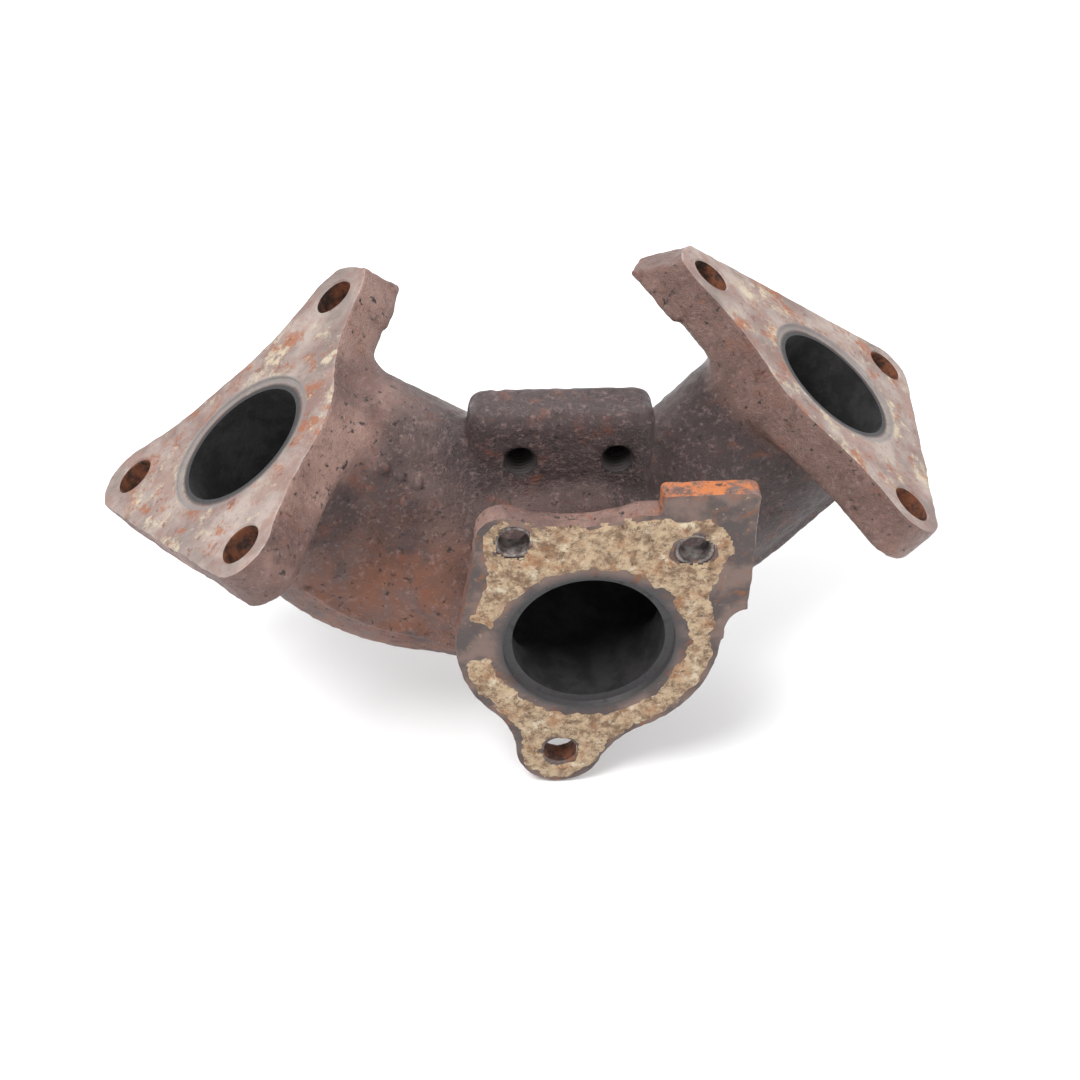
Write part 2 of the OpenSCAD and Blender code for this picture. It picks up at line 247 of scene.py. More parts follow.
class Leg:
    """One branch of the casting, from the meeting point to its side flange.

    n points out of the flange's face, v back along it, u across it and rise up its slope.
    sign is the side of the bend that has the parting line. toe is the reach of the flange's
    end past the rear bolt hole, and how much further out that end is at the back.
    """

    def __init__(self, side, direction, branch, run, sign, toe):
        self.side = side
        self.sign = sign
        self.toe = toe
        self.face = mount_point(side + "_port_seat")
        self.n = mount_axis(side + "_port_seat")
        self.v = Y_AXIS - self.n * (Y_AXIS @ self.n)
        self.v /= np.linalg.norm(self.v)
        self.u = np.cross(self.v, self.n)
        self.rise = self.u * np.sign(self.u[2])
        angle = math.radians(direction)
        self.heading = np.array([math.cos(angle), math.sin(angle), 0.0])
        cos_turn = self.heading @ self.n
        self.turn = math.acos(cos_turn)
        up = self.n - self.heading * cos_turn
        self.up = up / np.linalg.norm(up)
        self.start = MEET + branch * self.heading
        self.centre = self.start + BEND_R * self.up
        self.end = self.face - (run + SIDE_T) * self.n
        self.run = run
        self.axis = np.cross(self.up, self.heading)
        self.holes = [mount_point(f"{side}_{k}_bolt_hole") for k in ("rear", "side", "front")]
        rounds = [(np.zeros(2), PORT_R)] + [(self.flat(h), SIDE_BOLT_R) for h in self.holes]
        axes = [self.u, self.v, self.n]
        self.shape = Outline(outline(side + "_flange", self.face, axes, SIDE_T / 2, rounds))

    def flat(self, point):
        """A point's place on the flange's face."""
        q = point - self.face
        return np.array([q @ self.u, q @ self.v])

    def tube(self, p, r, chamber, past=0.0):
        """Distance to the leg's pipe, from the meeting point to this far past the port's face."""
        d = segment(p, MEET, self.start, chamber, r)
        q = p - self.centre
        x, z, y = q @ self.heading, -(q @ self.up), q @ self.axis
        rho = np.hypot(x, z)
        angle = np.arctan2(x, z)
        bend = np.hypot(rho - BEND_R, y) - r
        in_bend = (angle > 0) & (angle < self.turn)
        if r == LEG_R:
            off = np.arctan2(np.abs(rho - BEND_R), y * self.sign) * r
            bend = bend - PARTING_H * np.exp(-(off / PARTING_W) ** 2) * in_bend
        d = np.where(in_bend, np.minimum(d, bend), d)
        half = (self.run + SIDE_T + past) / 2
        ends = np.abs((p - self.end) @ self.n - half) - half
        return np.minimum(d, np.maximum(tube(p, self.end, self.n, r), ends))

    def flange(self, p):
        q = p - self.face
        x, y, z = q @ self.u, q @ self.v, q @ self.n
        plate = smax(smax(self.shape(x, y), z - EXTRA, 0.4), -z - SIDE_T, BACK_ROUND)
        # Drafted end of the rear lobe: its tip is further out at the back
        h = self.flat(self.holes[0])
        far = np.linalg.norm(h)
        along = (x * h[0] + y * h[1]) / far - far
        across = np.abs(x * h[1] - y * h[0]) / far
        r, reach = self.toe
        tip = r - 1.0 + (reach + 1.0) * np.clip(-z / SIDE_T, -0.3, 1)
        sides = (across - 6.0 - 0.3 * np.maximum(tip - along, 0)) * 0.95
        end = smax(smax(along - tip, sides, 1.2), -z - SIDE_T, 2.0)
        end = smax(end, np.maximum(z, -along), 1.0)
        return smin(plate, end, 2.0)


LEFT = Leg("left", 171, 36.5, 19.5, 1, (10.0, 3.5))
RIGHT = Leg("right", 40, 33.5, 9.0, -1, (9.5, 7.5))
LEGS = (LEFT, RIGHT)

OUT = np.zeros(3)
OUT_AXES = [np.array([1.0, 0, 0]), np.array([0, 0, 1.0]), np.array([0, -1.0, 0])]
SLEEVES = [mount_point("outlet_left_sleeve_bore"), mount_point("outlet_right_sleeve_bore")]
LOW_HOLE = mount_point("outlet_low_bolt_hole")


def outlet_rounds(bore, upper, low):
    flat = [np.array([h[0], h[2]]) for h in SLEEVES + [LOW_HOLE]]
    return [(np.zeros(2), bore), (flat[0], upper), (flat[1], upper), (flat[2], low)]


outlet_front = Outline(outline(
    "outlet_flange", OUT, OUT_AXES, 4.0, outlet_rounds(OUTLET_R, SLEEVE_HOLE_R, LOW_HOLE_R)))
TAPS = [mount_point("pad_left_tapped_hole"), mount_point("pad_right_tapped_hole")]
PAD = [np.array(c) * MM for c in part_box("bracket_pad")]

# Bars that fill the inner corners of the legs
LEFT_TOP = LEFT.end + 14 * LEFT.rise + 6 * LEFT.v + LEFT.run * LEFT.n
LEFT_FOOT = MEET + np.array([-12.0, 14, 6])
RIGHT_TOP = RIGHT.end + 13 * RIGHT.rise + RIGHT.run * RIGHT.n
RIGHT_FOOT = MEET + np.array([14.0, 18, 4])
DOWN_BAR = (LEFT_FOOT - LEFT_TOP) / np.linalg.norm(LEFT_FOOT - LEFT_TOP)
OUTWARD = np.array([0.0, -0.86, 0.50])
OUTWARD = OUTWARD - DOWN_BAR * (OUTWARD @ DOWN_BAR)
OUTWARD /= np.linalg.norm(OUTWARD)


def behind(leg, p):
    """Height above a side flange's back: what stands above it belongs to the flange alone."""
    return (p - leg.face) @ leg.n + SIDE_T - 3.0


def pad_field(p):
    """Distance to the bracket pad, a rounded block that goes down into the collector."""
    low, high = PAD
    mid = np.array([(low[0] + high[0]) / 2, (low[1] + high[1]) / 2, high[2] / 2])
    half = np.array([(high[0] - low[0]) / 2, (high[1] - low[1]) / 2, high[2] / 2])
    q = np.abs(p - mid) - half + PAD_ROUND
    inside = np.minimum(q.max(axis=1), 0)
    return np.linalg.norm(np.maximum(q, 0), axis=1) + inside - PAD_ROUND


def parts_field(p):
    """Distances to the sections of the casting's outside, by name."""
    f = {}
    for leg in LEGS:
        f[leg.side + "_leg"] = leg.tube(p, LEG_R, CHAMBER_R, -2.0)
        f[leg.side + "_flange"] = leg.flange(p)
    f["left_gusset"] = segment(p, LEFT_TOP, LEFT_FOOT, 19.5, 19.5)
    f["right_gusset"] = segment(p, RIGHT_TOP, RIGHT_FOOT, 16.5, 17.5)
    f["pad"] = pad_field(p)
    y = p[:, 1]
    f["outlet_flange"] = smax(
        smax(outlet_front(p[:, 0], p[:, 2]), y - OUTLET_T, 1.6), -y - EXTRA, 0.4)
    f["neck"] = np.maximum(tube(p, OUT, Y_AXIS, NECK_R), np.maximum(-y, y - MEET[1]))
    return f


def plain_outside(p):
    """Distance to the casting's outside, with fillets between its sections."""
    f = parts_field(p)
    left = smin(f["left_leg"], smax(f["left_gusset"], behind(LEFT, p), 2.0), 7.0)
    right = smin(f["right_leg"], smax(f["right_gusset"], behind(RIGHT, p), 2.0), 8.0)
    body = smin(left, right, 5.0)
    body = smin(body, f["pad"], 4.5)
    body = smin(body, f["neck"], 5.0)
    body = smin(body, f["outlet_flange"], 3.0)
    body = smin(body, f["left_flange"], FLANGE_FILLET)
    return smin(body, f["right_flange"], FLANGE_FILLET)


def on_left_leg(along):
    """Point on the left leg's skin, this far from the top of its gusset."""
    p = (LEFT_TOP + DOWN_BAR * along + OUTWARD * 34.0)[None]
    for _ in range(30):
        p = p - OUTWARD * plain_outside(p)[:, None]
    return p[0]


# Three plain pips on the left leg
PIPS = [on_left_leg(13.0 + 4.5 * k) + OUTWARD * 0.1 for k in range(3)]


def outside(p):
    body = plain_outside(p)
    for c in PIPS:
        body = smin(body, np.linalg.norm(p - c, axis=1) - PIP_R, 0.5)
    return body


def passage(p):
    """Distance to the gas passage, which runs out past the three ports."""
    left, right = (leg.tube(p, PORT_R, CHAMBER_BORE_R, 6.0) for leg in LEGS)
    d = np.minimum(left, right)
    bore = np.maximum(tube(p, OUT, Y_AXIS, OUTLET_R), p[:, 1] - MEET[1])
    return smin(d, bore, 2.0)


def holes(p):
    """Distance to the bolt holes, each cut a little past its flange, and to the tapped holes."""
    cuts = []
    for leg in LEGS:
        z = (p - leg.face) @ leg.n
        for h in leg.holes:
            cuts.append((tube(p, h, leg.n, SIDE_BOLT_R), -z - SIDE_T - 3))
    y = p[:, 1]
    for h in SLEEVES:
        cuts.append((tube(p, h, Y_AXIS, SLEEVE_HOLE_R), y - OUTLET_T - 2.5))
    cuts.append((tube(p, LOW_HOLE, Y_AXIS, LOW_HOLE_R), y - OUTLET_T - 3))
    for h in TAPS:
        # From 2 mm in front of the pad's face to 12 mm behind it
        cuts.append((tube(p, h, Y_AXIS, TAP_CLEAR_R), np.abs(y - PAD[0][1] - 5.0) - 7.0))
    d = np.full(len(p), 1e3)
    for bar, end in cuts:
        d = np.minimum(d, np.maximum(bar, end))
    return d


def field(p):
    """Signed distance to the casting, below 0 inside the iron."""
    f = np.maximum(outside(p), -passage(p))
    return smax(f, -holes(p), 0.5)


def grid_points(shape, low, step, index):
    i = np.stack(np.unravel_index(index, shape), axis=1)
    return low + step * i


def in_blocks(fn, p, size=400_000):
    return np.concatenate([fn(p[i:i + size]) for i in range(0, len(p), size)])


def sampled_field(low):
    """The field on the fine grid, exact near the surface and coarse elsewhere."""
    coarse_step = GRID * COARSE
    cells = np.ceil((cad_bounds_mm[1] + MARGIN - low) / coarse_step).astype(int)
    rough_shape = cells + 1
    index = np.arange(np.prod(rough_shape))
    rough = in_blocks(field, grid_points(rough_shape, low, coarse_step, index))
    rough = rough.reshape(rough_shape)
    shape = cells * COARSE + 1
    values = np.empty(shape, np.float32)
    near = np.zeros(shape, bool)
    for c in np.argwhere(np.abs(rough) < 0.9 * coarse_step + 1.0):
        a = np.maximum(c * COARSE - COARSE // 2, 0)
        b = np.minimum(c * COARSE + COARSE // 2 + 1, shape)
        near[a[0]:b[0], a[1]:b[1], a[2]:b[2]] = True
    spread = np.minimum(
        (np.indices(shape, dtype=np.int16) + COARSE // 2) // COARSE,
        (rough_shape - 1)[:, None, None, None]).astype(np.int16)
    values[:] = rough[spread[0], spread[1], spread[2]]
    flat = np.flatnonzero(near)
    values.ravel()[flat] = in_blocks(field, grid_points(shape, low, GRID, flat))
    return values


def cells_beside(at, axis, d1, d2):
    """One of the four cells round each grid edge that starts here and runs along this axis."""
    c = at.copy()
    c[:, (axis + 1) % 3] -= d1
    c[:, (axis + 2) % 3] -= d2
    return c


def make_surface():
    """Surface nets: one point in each cell that the surface crosses, one quad per crossed edge."""
    low = cad_bounds_mm[0] - MARGIN
    values = sampled_field(low)
    cell_shape = np.array(values.shape) - 1
    total = np.zeros(tuple(cell_shape) + (3,), np.float32)
    count = np.zeros(tuple(cell_shape), np.uint8)
    crossings = []
    for axis in range(3):
        one = [slice(None)] * 3
        two = [slice(None)] * 3
        one[axis], two[axis] = slice(0, -1), slice(1, None)
        v0, v1 = values[tuple(one)], values[tuple(two)]
        at = np.argwhere((v0 < 0) != (v1 < 0))
        a, b = v0[tuple(at.T)], v1[tuple(at.T)]
        pos = at.astype(np.float32)
        pos[:, axis] += a / (a - b)
        crossings.append((axis, at, a < 0))
        for d1 in (0, 1):
            for d2 in (0, 1):
                c = cells_beside(at, axis, d1, d2)
                ok = (c >= 0).all(axis=1) & (c < cell_shape).all(axis=1)
                np.add.at(total, tuple(c[ok].T), pos[ok])
                np.add.at(count, tuple(c[ok].T), 1)
    used = count > 0
    number = np.full(tuple(cell_shape), -1, np.int64)
    number[used] = np.arange(used.sum())
    verts = low + GRID * (total[used] / count[used][:, None]).astype(float)
    quads = []
    for axis, at, first_solid in crossings:
        q = np.stack([number[tuple(cells_beside(at, axis, d1, d2).T)]
                      for d1, d2 in ((1, 1), (0, 1), (0, 0), (1, 0))], axis=1)
        q[~first_solid] = q[~first_solid][:, ::-1]
        quads.append(q)
    quads = np.concatenate(quads)

    # Normals from the grid, then two steps onto the true surface
    grad = np.stack(np.gradient(values, GRID), axis=-1)
    for _ in range(2):
        i = np.clip(np.round((verts - low) / GRID).astype(int), 0, cell_shape)
        g = grad[tuple(i.T)].astype(float)
        g /= np.maximum(np.linalg.norm(g, axis=1), 1e-6)[:, None]
        d = in_blocks(field, verts)
        verts -= np.clip(d, -0.3, 0.3)[:, None] * g
    return verts, quads, g


verts, quads, normals = make_surface()

# Sand-cast grain on the surfaces that no tool has touched
rough_mask = np.clip((in_blocks(passage, verts) - 0.6) / 0.8, 0, 1)
rough_mask *= np.clip((in_blocks(holes, verts) - 0.2) / 0.5, 0, 1)
grain = (0.16 * noise(verts, 1.7) + 0.13 * noise(verts, 3.4, 9.0) + 0.16 * noise(verts, 9.0, 17.0)
         - 0.16 * np.clip(noise(verts, 2.3, 31.0) - 0.35, 0, 1) * 2.0)
verts = verts + (grain * rough_mask - 0.12 * rough_mask)[:, None] * normals

verts = np.clip(verts, cad_bounds_mm[0] + 0.02, cad_bounds_mm[1] - 0.02)

bm = bmesh.new()
bm_verts = [bm.verts.new(v) for v in verts]
for q in quads:
    bm.faces.new([bm_verts[i] for i in q])
bm.normal_update()

# Material numbers of the casting
CAST, SIDE_FACE, OUTLET_FACE, SOOT, HOLE = range(5)


def rim_loops(bm, origin, normal, near):
    """Open edges on a plane, chained into loops of corners."""
    rims = [e for e in bm.edges
            if e.is_boundary and near(e.verts[0].co)
            and all(abs((v.co - origin).dot(normal)) < 0.02 for v in e.verts)]
    links = {}
    for e in rims:
        for v in e.verts:
            links.setdefault(v, []).append(e)
    loops, done = [], set()
    for e in rims:
        if e in done:
            continue
        first, v = e.verts
        loop, edge = [first], e
        while True:
            done.add(edge)
            loop.append(v)
            nxt = [x for x in links[v] if x not in done]
            if not nxt:
                break
            edge = nxt[0]
            v = edge.other_vert(v)
        if loop[-1] is loop[0]:
            loop.pop()
        loops.append(loop)
    return loops


def machine_face(origin, axes, depth, near, seat_r, bore_r, height, slot):
    """Cuts the casting at a seat's depth and builds the flat face, its holes and its seat.

    near tells which corners belong to the face, and height how far its points stand off it.
    """
    u, v, n = (Vector(a) for a in axes)
    o = Vector(origin)
    geom = []
    for f in bm.faces:
        c = f.calc_center_median()
        if near(c) and (c - o).dot(n) > -depth - 3 * GRID:
            geom.append(f)
    region = set(geom)
    edges = {e for f in geom for e in f.edges}
    corners = {w for f in geom for w in f.verts}
    bmesh.ops.bisect_plane(
        bm, geom=list(region) + list(edges) + list(corners), dist=0.01,
        plane_co=o - n * depth, plane_no=n, clear_outer=True)
    loops = rim_loops(bm, o - n * depth, n, near)
    flat = [np.array([((w.co - o).dot(u), (w.co - o).dot(v)) for w in loop]) for loop in loops]
    big = max(range(len(loops)), key=lambda i: abs(polygon_area(flat[i])))

    def place(xy, z):
        return o + u * float(xy[0]) + v * float(xy[1]) + n * float(z)

    def ring(old, pts, z, slot):
        new = [bm.verts.new(place(p, z)) for p in pts]
        k = len(old)
        for i in range(k):
            f = bm.faces.new((old[i], old[(i + 1) % k], new[(i + 1) % k], new[i]))
            f.material_index = slot
        return new

    rims = []
    for i, (loop, pts) in enumerate(zip(loops, flat)):
        if len(loop) < MIN_RIM:
            continue
        if (polygon_area(pts) > 0) != (i == big):
            loop.reverse()
            pts = pts[::-1]
        ahead = np.roll(pts, -1, axis=0) - np.roll(pts, 1, axis=0)
        inward = np.stack([-ahead[:, 1], ahead[:, 0]], axis=1)
        inward /= np.maximum(np.linalg.norm(inward, axis=1), 1e-9)[:, None]
        centre = pts.mean(axis=0)
        is_port = i != big and np.linalg.norm(centre) < 3
        if is_port:
            # Floor of the seat, then its wall
            away = pts - centre
            away /= np.linalg.norm(away, axis=1)[:, None]
            loop = ring(loop, away * (bore_r + 0.3), -depth, slot)
            loop = ring(loop, away * (seat_r - 0.05), -depth, slot)
            loop = ring(loop, away * seat_r, -depth + 0.05, slot)
            loop = ring(loop, away * seat_r, -0.15, slot)
            pts = away * (seat_r + 0.15)
            loop = ring(loop, pts, 0, slot)
        elif i == big:
            wobble = 0.12 * noise(np.c_[pts, np.zeros(len(pts))], 2.2, 3.0)[:, None]
            loop = ring(loop, pts + inward * 0.02, -EDGE * 1.6, CAST)
            loop = ring(loop, pts + inward * (EDGE * 0.35 + wobble), -EDGE * 0.55, CAST)
            pts = pts + inward * (EDGE + 1.4 * wobble)
            loop = ring(loop, pts, 0, slot)
        else:
            r = np.linalg.norm(pts - centre, axis=1).mean()
            away = (pts - centre) / np.linalg.norm(pts - centre, axis=1)[:, None]
            loop = ring(loop, centre + away * r, -0.45, HOLE)
            pts = centre + away * (r + 0.35)
            loop = ring(loop, pts, 0, slot)
        rims.append((loop, pts))
    # The face itself, with points all over it so that pits and crust are real
    edge_pts = np.concatenate([p for _, p in rims])
    lo, hi = edge_pts.min(axis=0), edge_pts.max(axis=0)
    columns = np.arange(lo[0], hi[0], FACE_STEP)
    rows = np.arange(lo[1], hi[1], FACE_STEP * 0.87)
    gx, gy = np.meshgrid(columns, rows, indexing="ij")
    gx = gx + (np.arange(gx.shape[1]) % 2 * FACE_STEP / 2)[None, :]
    pts = np.stack([gx.ravel(), gy.ravel()], axis=1)
    pts += RNG.uniform(-0.12, 0.12, pts.shape)
    outer = max((p for _, p in rims), key=lambda p: abs(polygon_area(p)))
    keep = inside_polygon(pts, outer) & (polygon_distance(pts, outer) > 0.5)
    for _, p in rims:
        if p is not outer:
            keep &= ~inside_polygon(pts, p) & (polygon_distance(pts, p) > 0.5)
    all_pts = np.concatenate([edge_pts, pts[keep]])
    links, base = [], 0
    for _, p in rims:
        k = len(p)
        links += [(base + j, base + (j + 1) % k) for j in range(k)]
        base += k
    out_v, _, out_f, orig, _, _ = delaunay_2d_cdt([Vector(p) for p in all_pts], links, [], 0, 1e-5)
    rim_verts = [w for loop, _ in rims for w in loop]
    out_xy = np.array([tuple(w) for w in out_v])
    from_edge = np.array([min(sources) if sources else -1 for sources in orig])
    world = np.array(origin) + out_xy @ np.array([axes[0], axes[1]])
    z = height(world, out_xy)
    made_verts = []
    for k, (xy, src) in enumerate(zip(out_xy, from_edge)):
        if 0 <= src < len(rim_verts):
            made_verts.append(rim_verts[src])
        else:
            made_verts.append(bm.verts.new(place(xy, z[k])))
    tri = np.array([list(f) for f in out_f])
    mid = out_xy[tri].mean(axis=1)
    keep = inside_polygon(mid, outer)
    for _, p in rims:
        if p is not outer:
            keep &= ~inside_polygon(mid, p)
    for t in tri[keep]:
        try:
            f = bm.faces.new([made_verts[j] for j in t])
        except ValueError:
            continue
        f.material_index = slot


def side_height(world, xy):
    """Crust round the port, fine grain and pits."""
    r = np.linalg.norm(xy, axis=1)
    crust = np.clip(1.3 - np.abs(r - 25) / 7, 0, 1)
    patch = np.clip(noise(world, 5.0, 4.0) * 1.2 + 0.2, 0, 1) * crust
    z = -0.05 + 0.03 * noise(world, 2.0) + 0.14 * patch * (0.6 + 0.4 * noise(world, 1.6, 8.0))
    pits = np.clip(noise(world, 2.6, 12.0) - 0.45, 0, 1) * 0.35
    return np.minimum(z - pits, 0.0)


def outlet_height(world, _):
    return np.minimum(-0.04 + 0.03 * noise(world, 1.8, 5.0), 0.0)


for leg in LEGS:
    def near(c, leg=leg):
        q = np.array(c) - leg.face
        return abs(q @ leg.n) < 5 and np.linalg.norm(q) < FLANGE_REACH
    machine_face(
        leg.face, [leg.u, leg.v, leg.n], SEAT_DEPTH, near, SEAT_R, PORT_R, side_height, SIDE_FACE)


def near_outlet(c):
    return abs(c[1]) < 5 and abs(c[0]) < 42 and -52 < c[2] < 48


machine_face(
    OUT, OUT_AXES, OUTLET_SEAT_DEPTH, near_outlet, OUTLET_SEAT_R, OUTLET_R, outlet_height,
    OUTLET_FACE)

bmesh.ops.recalc_face_normals(bm, faces=bm.faces)
whole = bpy.data.meshes.new("casting")
bm.to_mesh(whole)
bm.free()

# Which section each face belongs to, and what its surface is
co = np.empty(len(whole.vertices) * 3)
whole.vertices.foreach_get("co", co)
co = co.reshape(-1, 3)
sizes = np.empty(len(whole.polygons), int)
whole.polygons.foreach_get("loop_total", sizes)
starts = np.empty(len(whole.polygons), int)
whole.polygons.foreach_get("loop_start", starts)
corner = np.empty(len(whole.loops), int)
whole.loops.foreach_get("vertex_index", corner)
look = np.empty(len(whole.polygons), int)
whole.polygons.foreach_get("material_index", look)
mid = np.add.reduceat(co[corner], starts, axis=0) / sizes[:, None]

NAMES = ["left_flange", "left_runner", "left_elbow", "left_gusset", "right_gusset",
         "right_flange", "right_runner", "right_elbow", "collector", "outlet_neck",
         "outlet_flange", "bracket_pad"]


def sections(p):
    """Section number of each point, by the planes between the sections."""
    f = parts_field(p)
    collector = NAMES.index("collector")
    label = np.full(len(p), collector)
    for leg in LEGS:
        along = (p - MEET) @ leg.heading
        out_of_bend = (p - leg.end) @ leg.n
        mine = (f[leg.side + "_leg"] < 9) & (along > (leg.start - MEET) @ leg.heading)
        label[mine] = NAMES.index(leg.side + "_elbow")
        label[mine & (out_of_bend > 0)] = NAMES.index(leg.side + "_runner")
    for side in ("left", "right"):
        gusset = (f[side + "_gusset"] < 1.2) & (f[side + "_leg"] > 1.6)
        label[gusset] = NAMES.index(side + "_gusset")
    off_legs = (f["left_leg"] > 0.4) & (f["right_leg"] > 0.4)
    neck = (p[:, 1] < MEET[1]) & (f["neck"] < 2.5) & off_legs
    neck |= (passage(p) < 0.6) & (p[:, 1] < 14)
    label[neck] = NAMES.index("outlet_neck")
    label[(f["pad"] < 1.0) & (p[:, 2] > 18)] = NAMES.index("bracket_pad")
    plate = (p[:, 1] < OUTLET_T + 0.3) & (f["outlet_flange"] < 2)
    label[plate] = NAMES.index("outlet_flange")
    for leg in LEGS:
        above = (p - leg.face) @ leg.n > -SIDE_T - 0.3
        label[above] = collector
        top = above & (np.linalg.norm(p - leg.face, axis=1) < FLANGE_REACH)
        label[top] = NAMES.index(leg.side + "_flange")
    return label


label = sections(mid)
in_pass = in_blocks(passage, mid) < 0.35
in_hole = in_blocks(holes, mid) < 0.35
look[(look == CAST) & in_hole] = HOLE
look[(look == CAST) & in_pass] = SOOT

# Corner normals of the whole casting, with its machined edges kept sharp
whole.polygons.foreach_set("use_smooth", np.ones(len(whole.polygons), bool))
edit = bmesh.new()
edit.from_mesh(whole)
edit.normal_update()
for e in edit.edges:
    if len(e.link_faces) == 2:
        one, two = e.link_faces
        if one.material_index != two.material_index or e.calc_face_angle(0.0) > SHARP:
            e.smooth = False
edit.to_mesh(whole)
edit.free()
whole.update()
corner_normals = np.empty(len(whole.loops) * 3, np.float32)
whole.corner_normals.foreach_get("vector", corner_normals)
corner_normals = corner_normals.reshape(-1, 3)


# ---------------------------------------------------------------- materials

class Nodes:
    """Short ways to build a material's nodes."""

    def __init__(self, name):
        self.mat = bpy.data.materials.new(name)
        self.mat.use_nodes = True
        self.tree = self.mat.node_tree
        self.shader = self.tree.nodes["Principled BSDF"]
        self.where = self.tree.nodes.new("ShaderNodeTexCoord").outputs["Object"]

    def link(self, a, b):
        """Feeds a number, a colour or another node's output into a socket."""
        if isinstance(a, (int, float, tuple)):
            b.default_value = a
        else:
            self.tree.links.new(a, b)

    def noise(self, size_mm, detail, rough, shift, warp=0.0):
        n = self.tree.nodes.new("ShaderNodeTexNoise")
        n.noise_dimensions = "4D"
        n.inputs["W"].default_value = shift
        n.inputs["Scale"].default_value = MM / size_mm
        n.inputs["Detail"].default_value = detail
        n.inputs["Roughness"].default_value = rough
        n.inputs["Distortion"].default_value = warp
        self.link(self.where, n.inputs["Vector"])
        return n.outputs["Fac"]

    def math(self, kind, a, b=0.0):
        n = self.tree.nodes.new("ShaderNodeMath")
        n.operation = kind
        self.link(a, n.inputs[0])
        self.link(b, n.inputs[1])
        return n.outputs[0]

    def step(self, a, low, high):
        n = self.tree.nodes.new("ShaderNodeMapRange")
        n.interpolation_type = "SMOOTHSTEP"
        n.inputs["From Min"].default_value = low
        n.inputs["From Max"].default_value = high
        self.link(a, n.inputs["Value"])
        return n.outputs["Result"]

    def mix(self, fac, a, b):
        n = self.tree.nodes.new("ShaderNodeMix")
        n.data_type = "RGBA"
        self.link(fac, n.inputs[0])
        self.link(a, n.inputs[6])
        self.link(b, n.inputs[7])
        return n.outputs[2]

    def away(self, point_mm):
        """Distance from a point, in millimetres."""
        n = self.tree.nodes.new("ShaderNodeVectorMath")
        n.operation = "DISTANCE"
        self.link(self.where, n.inputs[0])
        n.inputs[1].default_value = tuple(np.array(point_mm) / MM)
        return self.math("MULTIPLY", n.outputs["Value"], MM)

    def part(self, axis):
        n = self.tree.nodes.new("ShaderNodeSeparateXYZ")
        self.link(self.where, n.inputs[0])
        return self.math("MULTIPLY", n.outputs[axis], MM)

    def along(self, point_mm, axis):
        """Height above a plane, in millimetres."""
        n = self.tree.nodes.new("ShaderNodeVectorMath")
        n.operation = "DOT_PRODUCT"
        self.link(self.where, n.inputs[0])
        n.inputs[1].default_value = tuple(axis)
        height = self.math("MULTIPLY", n.outputs["Value"], MM)
        return self.math("SUBTRACT", height, float(np.dot(point_mm, axis)))

    def patches(self, size_mm, detail, rough, shift, low, high, warp=0.0):
        """0 between patches of noise and 1 on them."""
        return self.step(self.noise(size_mm, detail, rough, shift, warp), low, high)

    def coat(self, base, mask, amount, color):
        """Base with this much of a colour where the mask is 1."""
        return self.mix(self.math("MULTIPLY", mask, amount), base, color)

    def bump(self, height, depth_mm, strength):
        n = self.tree.nodes.new("ShaderNodeBump")
        n.inputs["Distance"].default_value = depth_mm / MM
        n.inputs["Strength"].default_value = strength
        self.link(height, n.inputs["Height"])
        return n.outputs["Normal"]

    def finish(self, color, rough, normal=None, metal=0.0):
        self.link(color, self.shader.inputs["Base Color"])
        self.link(rough, self.shader.inputs["Roughness"])
        self.shader.inputs["Metallic"].default_value = metal
        if normal is not None:
            self.link(normal, self.shader.inputs["Normal"])
        return self.mat


def rgb(r, g, b):
    """A colour given as it looks on screen, from 0 to 255."""
    linear = [((c / 255 + 0.055) / 1.055) ** 2.4 if c > 10 else c / 255 / 12.92 for c in (r, g, b)]
    return (*linear, 1.0)


